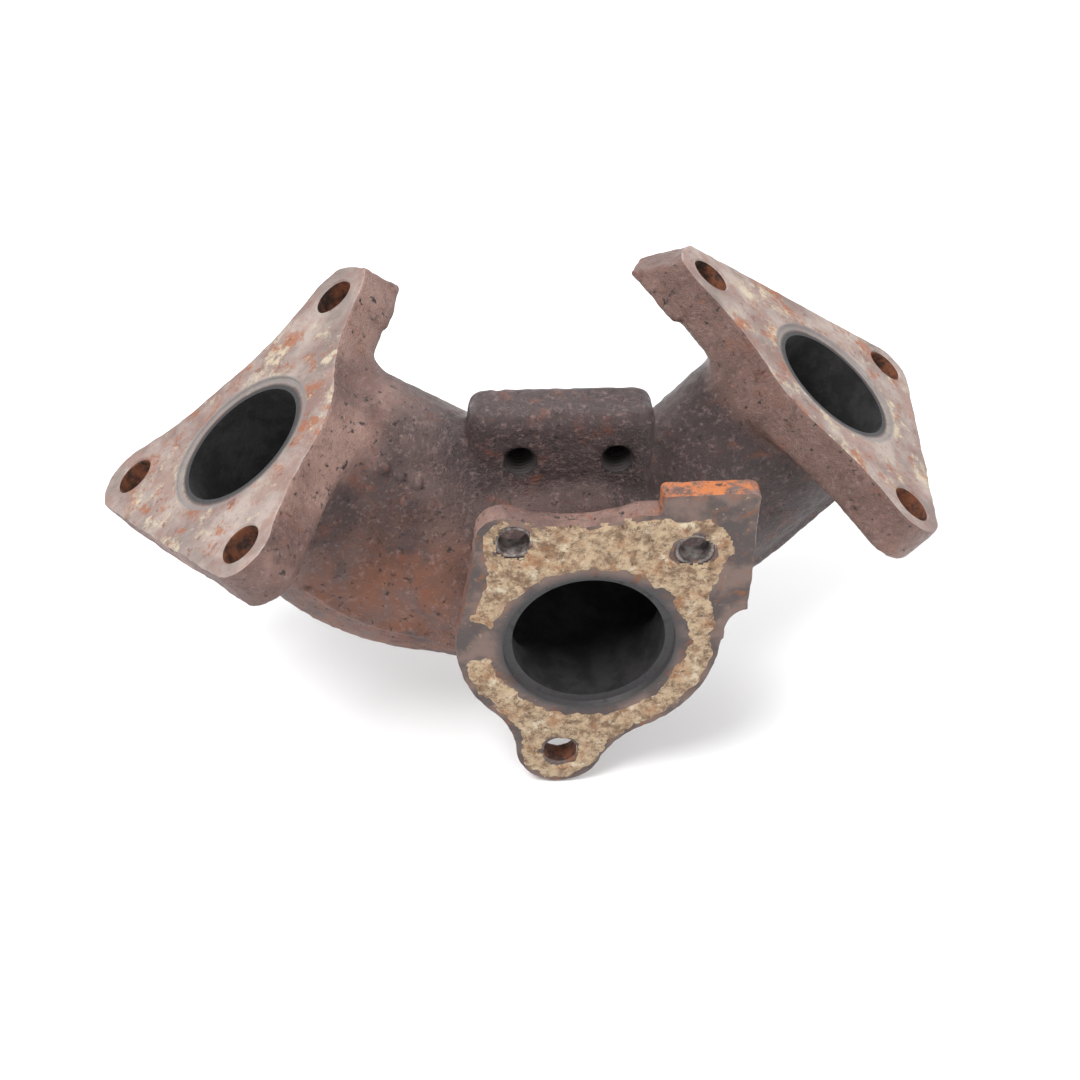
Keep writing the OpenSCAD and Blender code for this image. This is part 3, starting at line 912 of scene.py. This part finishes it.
def cast_material():
    """Sand-cast skin: dark on the right leg and the pad, lighter on flange edges, rust low left."""
    m = Nodes("cast_iron_skin")
    flange = m.step(m.part("Y"), 9.0, 5.5)
    for leg in LEGS:
        flange = m.math("MAXIMUM", flange, m.step(m.along(leg.face, leg.n), -18.0, -12.0))
    right_side = m.step(m.part("X"), 2.0, 34.0)
    broad = m.patches(20, 3, 0.55, 1.0, 0.38, 0.64)
    base = m.mix(broad, rgb(60, 45, 44), rgb(98, 78, 74))
    base = m.coat(base, right_side, 0.75, rgb(46, 33, 33))
    pad = m.math(
        "MULTIPLY", m.step(m.part("Z"), 24.0, 34.0), m.step(m.away((-4, 33, 40)), 40.0, 24.0))
    base = m.coat(base, pad, 0.8, rgb(50, 35, 36))

    edge = m.mix(broad, rgb(104, 76, 69), rgb(146, 115, 104))
    edge = m.coat(edge, right_side, 0.55, rgb(96, 68, 59))
    edge = m.coat(edge, m.patches(4.5, 6, 0.78, 9.0, 0.50, 0.62), 0.5, rgb(70, 48, 43))
    base = m.coat(base, flange, 0.85, edge)

    low_left = m.step(m.away((-50, 18, -10)), 46.0, 20.0)
    rusty = m.math("MULTIPLY", low_left, m.patches(11, 5, 0.7, 4.0, 0.36, 0.62, 0.4))
    base = m.coat(base, rusty, 0.85, rgb(120, 73, 50))
    specks = m.patches(1.3, 4, 0.7, 2.0, 0.50, 0.70)
    base = m.coat(base, specks, 0.40, rgb(158, 132, 126))
    base = m.coat(base, m.patches(8, 6, 0.75, 5.0, 0.54, 0.68, 0.5), 0.50, rgb(124, 66, 40))
    spots = m.patches(2.6, 5, 0.75, 6.0, 0.62, 0.72)
    spot_amount = m.math("ADD", m.math("MULTIPLY", flange, 0.35), 0.25)
    base = m.coat(base, spots, spot_amount, rgb(178, 100, 54))
    # Orange rust on the tab's top edge
    tab = m.math(
        "MULTIPLY", m.step(m.away((26, 3, 44)), 16.0, 8.0), m.patches(3.5, 5, 0.7, 7.0, 0.44, 0.56))
    base = m.coat(base, tab, 0.9, rgb(196, 112, 52))
    base = m.mix(m.patches(1.7, 3, 0.6, 8.0, 0.30, 0.42), rgb(34, 24, 23), base)

    height = m.math(
        "ADD", m.noise(1.0, 5, 0.7, 3.0), m.math("MULTIPLY", m.noise(0.45, 3, 0.6, 5.0), 0.5))
    rough = m.math("SUBTRACT", 0.56, m.math("MULTIPLY", m.math("MAXIMUM", right_side, pad), 0.26))
    rough = m.math("ADD", rough, m.math("MULTIPLY", specks, 0.15))
    return m.finish(base, rough, m.bump(height, 0.8, 1.0))


def side_face_material(leg, shift):
    """Old machined face, with most of its crust and rust in a ring round the port."""
    m = Nodes(leg.side + "_face_metal")
    r = m.away(leg.face)
    base = m.mix(
        m.patches(14, 4, 0.6, shift, 0.35, 0.65), rgb(120, 106, 101), rgb(164, 149, 141))
    base = m.coat(base, m.patches(9, 6, 0.7, shift + 1, 0.44, 0.60), 0.6, rgb(132, 98, 88))
    off_ring = m.math("ABSOLUTE", m.math("SUBTRACT", r, 27))
    ring = m.math("SUBTRACT", 1.0, m.step(off_ring, 5.0, 13.0))
    cream = m.math("MULTIPLY", m.patches(9, 7, 0.78, shift + 2, 0.52, 0.60), ring)
    base = m.coat(base, cream, 0.75, rgb(192, 178, 154))
    rust = m.math("MULTIPLY", m.patches(7, 7, 0.78, shift + 3, 0.52, 0.60), ring)
    base = m.coat(base, rust, 0.75, rgb(146, 84, 48))
    red = m.math("MULTIPLY", m.patches(4.5, 6, 0.75, shift + 4, 0.58, 0.64), ring)
    base = m.coat(base, red, 0.7, rgb(104, 52, 40))
    base = m.coat(base, m.patches(1.5, 4, 0.7, shift + 5, 0.56, 0.68), 0.5, rgb(92, 66, 58))
    # Dark edge of the port, then the bare seat
    base = m.mix(m.step(r, 17.6, 19.2), rgb(52, 50, 52), base)
    past_seat = m.step(r, 20.0, 20.8)
    seat = m.math("MULTIPLY", m.step(r, 18.4, 19.0), m.math("SUBTRACT", 1.0, past_seat))
    base = m.coat(base, seat, 0.85, rgb(128, 122, 120))
    height = m.math("ADD", m.noise(1.2, 5, 0.7, shift + 6), m.math("MULTIPLY", cream, 0.6))
    rough = m.math("ADD", m.math("MULTIPLY", m.math("MAXIMUM", cream, rust), 0.3), 0.48)
    return m.finish(base, rough, m.bump(height, 0.22, 0.8), 0.15)


def outlet_face_material():
    m = Nodes("outlet_face_metal")
    base = m.mix(m.patches(9, 4, 0.6, 1.5, 0.4, 0.62), rgb(62, 52, 50), rgb(104, 84, 76))
    rust = m.patches(5, 6, 0.75, 2.5, 0.52, 0.64, 1.0)
    base = m.coat(base, rust, 0.7, rgb(126, 78, 50))
    base = m.coat(base, m.patches(2.4, 5, 0.75, 3.5, 0.6, 0.7), 0.6, rgb(176, 150, 120))
    base = m.mix(m.step(m.away((0, 0, 0)), 20.5, 24.0), rgb(44, 42, 44), base)
    rough = m.math("ADD", m.math("MULTIPLY", rust, 0.3), 0.5)
    return m.finish(base, rough, m.bump(m.noise(1.0, 5, 0.7, 4.5), 0.25, 0.8))


def soot_material():
    m = Nodes("soot")
    base = m.mix(m.patches(6, 4, 0.6, 1.0, 0.4, 0.62), rgb(16, 15, 16), rgb(38, 36, 37))
    return m.finish(base, 0.85, m.bump(m.noise(1.4, 4, 0.7, 2.0), 0.3, 0.7))


def hole_material():
    """Rust in the bolt holes, and near-black in the tapped holes."""
    m = Nodes("hole_rust")
    base = m.mix(m.patches(3.5, 5, 0.7, 1.0, 0.38, 0.62), rgb(44, 28, 22), rgb(118, 68, 42))
    for tap in TAPS:
        base = m.mix(m.step(m.away(tap), 20.0, 15.0), base, rgb(38, 31, 30))
    return m.finish(base, 0.7, m.bump(m.noise(0.9, 4, 0.7, 2.0), 0.3, 0.8))


def residue_material():
    """Old gasket: brown and tan grains, with cream patches and dark gaps."""
    m = Nodes("gasket_residue_crust")
    base = m.mix(m.patches(2.4, 6, 0.75, 1.0, 0.38, 0.60), rgb(112, 88, 68), rgb(176, 154, 126))
    base = m.coat(base, m.patches(6, 6, 0.75, 2.0, 0.50, 0.64), 0.6, rgb(146, 100, 66))
    base = m.coat(base, m.patches(5, 6, 0.78, 4.0, 0.54, 0.64), 0.75, rgb(200, 188, 166))
    base = m.coat(base, m.patches(1.5, 6, 0.78, 3.0, 0.54, 0.64), 0.85, rgb(66, 50, 42))
    return m.finish(base, 0.9, m.bump(m.noise(0.8, 5, 0.75, 5.0), 0.5, 0.9))


def steel_material():
    m = Nodes("sleeve_steel")
    base = m.mix(m.patches(2.5, 5, 0.7, 1.0, 0.40, 0.62), rgb(78, 72, 70), rgb(140, 132, 128))
    base = m.coat(base, m.patches(1.8, 5, 0.7, 2.0, 0.56, 0.66), 0.7, rgb(120, 76, 50))
    return m.finish(base, 0.5, m.bump(m.noise(0.6, 4, 0.7, 3.0), 0.12, 0.7), 0.6)


cast = cast_material()
soot, hole_rust = soot_material(), hole_material()
faces = {"left_flange": side_face_material(LEFT, 1.0),
         "right_flange": side_face_material(RIGHT, 21.0)}
outlet_face = outlet_face_material()

# Small CAD nodes that a section's own piece stands for as well
ALSO = {"left_gusset": ["left_web"], "left_elbow": ["left_parting_line"],
        "right_elbow": ["right_parting_line"]}


def piece_from(name, verts_mm, polys, mats, slots):
    """A new smooth-shaded object, with a material number for each face."""
    mesh = bpy.data.meshes.new(name)
    mesh.from_pydata((np.asarray(verts_mm) / MM).tolist(), [], polys)
    for m in mats:
        mesh.materials.append(m)
    mesh.polygons.foreach_set("material_index", slots)
    mesh.polygons.foreach_set("use_smooth", np.ones(len(mesh.polygons), bool))
    obj = bpy.data.objects.new(name, mesh)
    bpy.context.scene.collection.objects.link(obj)
    return obj


for number, name in enumerate(NAMES):
    mine = np.flatnonzero(label == number)
    picks = np.concatenate([np.arange(starts[i], starts[i] + sizes[i]) for i in mine])
    used, inverse = np.unique(corner[picks], return_inverse=True)
    polys = [p.tolist() for p in np.split(inverse, np.cumsum(sizes[mine])[:-1])]
    # In the order of CAST, SIDE_FACE, OUTLET_FACE, SOOT and HOLE
    mats = [cast, faces.get(name, cast), outlet_face, soot, hole_rust]
    obj = piece_from(name + "_casting", co[used], polys, mats, look[mine])
    obj.data.normals_split_custom_set(corner_normals[picks].tolist())
    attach(obj, "root")
    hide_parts(name, *ALSO.get(name, []))


# ---------------------------------------------------------------- gasket residue

def residue():
    """Uneven crust on the outlet face, as a height over a square grid."""
    step = 0.6
    gx, gz = np.meshgrid(np.arange(-46, 46, step), np.arange(-52, 50, step), indexing="ij")
    x, z = gx.ravel(), gz.ravel()
    face = np.stack([x, np.zeros(len(x)), z], axis=1)
    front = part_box("gasket_residue")[0][1] * MM
    rounds = outlet_rounds(RESIDUE_BORE_R, RESIDUE_HOLE_R, RESIDUE_HOLE_R)
    shape = Outline(outline("gasket_residue", OUT, OUT_AXES, front / 2, rounds))
    # Stays on the flange and out of the port and the holes
    d = np.maximum(shape(x, z), outlet_front(x, z) + 0.8)
    d = np.maximum(d, RESIDUE_BORE_R - np.hypot(x, z))
    for h in SLEEVES + [LOW_HOLE]:
        d = np.maximum(d, RESIDUE_HOLE_R - np.hypot(x - h[0], z - h[2]))
    ragged = d + 0.8 * noise(face, 2.4, 2.0) + 0.5 * noise(face, 1.1, 6.0)
    bare_right = (np.clip(noise(face, 9.0, 11.0) * 1.4 - 0.5, 0, 1)
                  * np.clip((x + 4) / 20, 0, 1) * 2)
    bare_left = np.exp(-((x + 29) ** 2 + (z - 2) ** 2) / 60.0) * 2.2
    cover = np.clip(-ragged / 0.9, -1, 1) - bare_right - bare_left
    lumps = (0.34 + 0.16 * noise(face, 1.5, 3.0) + 0.14 * noise(face, 3.5, 7.0)
             + 0.10 * noise(face, 0.9, 13.0))
    high = np.clip(cover, -0.5, 1) * np.maximum(lumps, 0.08)
    high = np.minimum(high, -front - 0.03)
    i = np.arange(len(x)).reshape(gx.shape)
    quad = np.stack([i[:-1, :-1], i[1:, :-1], i[1:, 1:], i[:-1, 1:]], axis=-1).reshape(-1, 4)
    quad = quad[high[quad].max(axis=1) > -0.02]
    used, inverse = np.unique(quad, return_inverse=True)
    verts = np.stack([x[used], -high[used], z[used]], axis=1)
    quad = inverse.reshape(-1, 4).tolist()
    obj = piece_from(
        "gasket_residue_crust", verts, quad, [residue_material()], np.zeros(len(quad), int))
    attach(obj, "root")
    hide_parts("gasket_residue")


residue()


# ---------------------------------------------------------------- sleeves and threads

def lathe(profile, centre, turns=64):
    """Turns a section's points round the axis of an outlet hole."""
    verts, polys = [], []
    for r, y in profile:
        for k in range(turns):
            a = 2 * math.pi * k / turns
            verts.append((centre[0] + r * math.cos(a), y, centre[2] + r * math.sin(a)))
    rows = len(profile)
    for i in range(rows):
        j = (i + 1) % rows
        for k in range(turns):
            l = (k + 1) % turns
            polys.append((i * turns + k, i * turns + l, j * turns + l, j * turns + k))
    return verts, polys


# Section of a sleeve: radius, and depth behind the outlet face
SLEEVE_SECTION = [
    (3.7, 0.9), (3.9, 0.45), (4.15, 0.4), (4.6, 0.4), (4.72, 0.6), (4.72, 6.4), (3.7, 6.4)]
sleeve_verts, sleeve_polys = [], []
for h in SLEEVES:
    v, q = lathe(SLEEVE_SECTION, h)
    sleeve_polys += [tuple(i + len(sleeve_verts) for i in f) for f in q]
    sleeve_verts += v
sleeves = piece_from(
    "locating_sleeve_rings", sleeve_verts, sleeve_polys, [steel_material()],
    np.zeros(len(sleeve_polys), int))
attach(sleeves, "root")
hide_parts("locating_sleeves")


def thread(centre, depth=11.6, pitch=1.25, turns=40):
    """Wall of a tapped hole, with its helix cut in, and a drill point at the bottom."""
    rows = int(depth / pitch * 8)
    verts, polys = [], []
    y0 = PAD[0][1] + 0.25
    for i in range(rows + 1):
        y = depth * i / rows
        for k in range(turns):
            phase = (y / pitch - k / turns) % 1.0
            r = 3.42 + 0.5 * abs(2 * phase - 1)
            if y < 0.5:
                # Chamfer at the mouth
                r = max(r, TAP_CLEAR_R - y * 1.2)
            a = 2 * math.pi * k / turns
            verts.append((centre[0] + r * math.cos(a), y0 + y, centre[2] + r * math.sin(a)))
    verts.append((centre[0], y0 + depth + 0.1, centre[2]))
    for i in range(rows):
        for k in range(turns):
            l = (k + 1) % turns
            polys.append((i * turns + k, i * turns + l, (i + 1) * turns + l, (i + 1) * turns + k))
    tip = len(verts) - 1
    for k in range(turns):
        polys.append((rows * turns + k, rows * turns + (k + 1) % turns, tip))
    return verts, polys


for side, h in zip(("left", "right"), TAPS):
    v, q = thread(h)
    t = piece_from(side + "_pad_thread", v, q, [hole_rust], np.zeros(len(q), int))
    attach(t, "root")

# ---------------------------------------------------------------- floor, light and camera

bpy.ops.mesh.primitive_plane_add(size=8, location=(0, 0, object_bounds()[0][2] - 0.0005))
floor = bpy.context.object
floor.name = "floor"
floor.data.materials.append(Nodes("floor_paper").finish(rgb(246, 246, 247), 0.9))


def area_light(name, place, target, size, power):
    """Round soft light, in metres and watts."""
    data = bpy.data.lights.new(name, "AREA")
    data.shape = "DISK"
    data.size = size
    data.energy = power
    obj = bpy.data.objects.new(name, data)
    obj.location = place
    obj.rotation_euler = (Vector(target) - Vector(place)).to_track_quat("-Z", "Y").to_euler()
    bpy.context.scene.collection.objects.link(obj)


middle = (0, 0.03, 0)
area_light("key", (-0.35, -0.25, 0.75), middle, 0.45, 7.0)
area_light("fill", (0.7, -0.35, 0.5), middle, 0.6, 3.5)
area_light("rim", (0.1, 0.8, 0.6), middle, 0.6, 4.0)

world = bpy.data.worlds.new("studio")
world.use_nodes = True
background = world.node_tree.nodes["Background"]
background.inputs["Color"].default_value = (1, 1, 1, 1)
background.inputs["Strength"].default_value = 0.75
bpy.context.scene.world = world
bpy.context.scene.view_settings.view_transform = "Standard"

cam_data = bpy.data.cameras.new("camera")
cam_data.sensor_width = 36.0
cam_data.lens = 55.13
cam = bpy.data.objects.new("camera", cam_data)
cam.location = (-0.0338, -0.2961, 0.2713)
forward = Vector((0.056, 0.778, -0.626)).normalized()
up = Vector((0.027, 0.625, 0.780))
right = forward.cross(up).normalized()
up = right.cross(forward)
cam.matrix_world = Matrix((
    (right[0], up[0], -forward[0], cam.location[0]),
    (right[1], up[1], -forward[1], cam.location[1]),
    (right[2], up[2], -forward[2], cam.location[2]),
    (0, 0, 0, 1)))
bpy.context.scene.collection.objects.link(cam)
bpy.context.scene.camera = cam
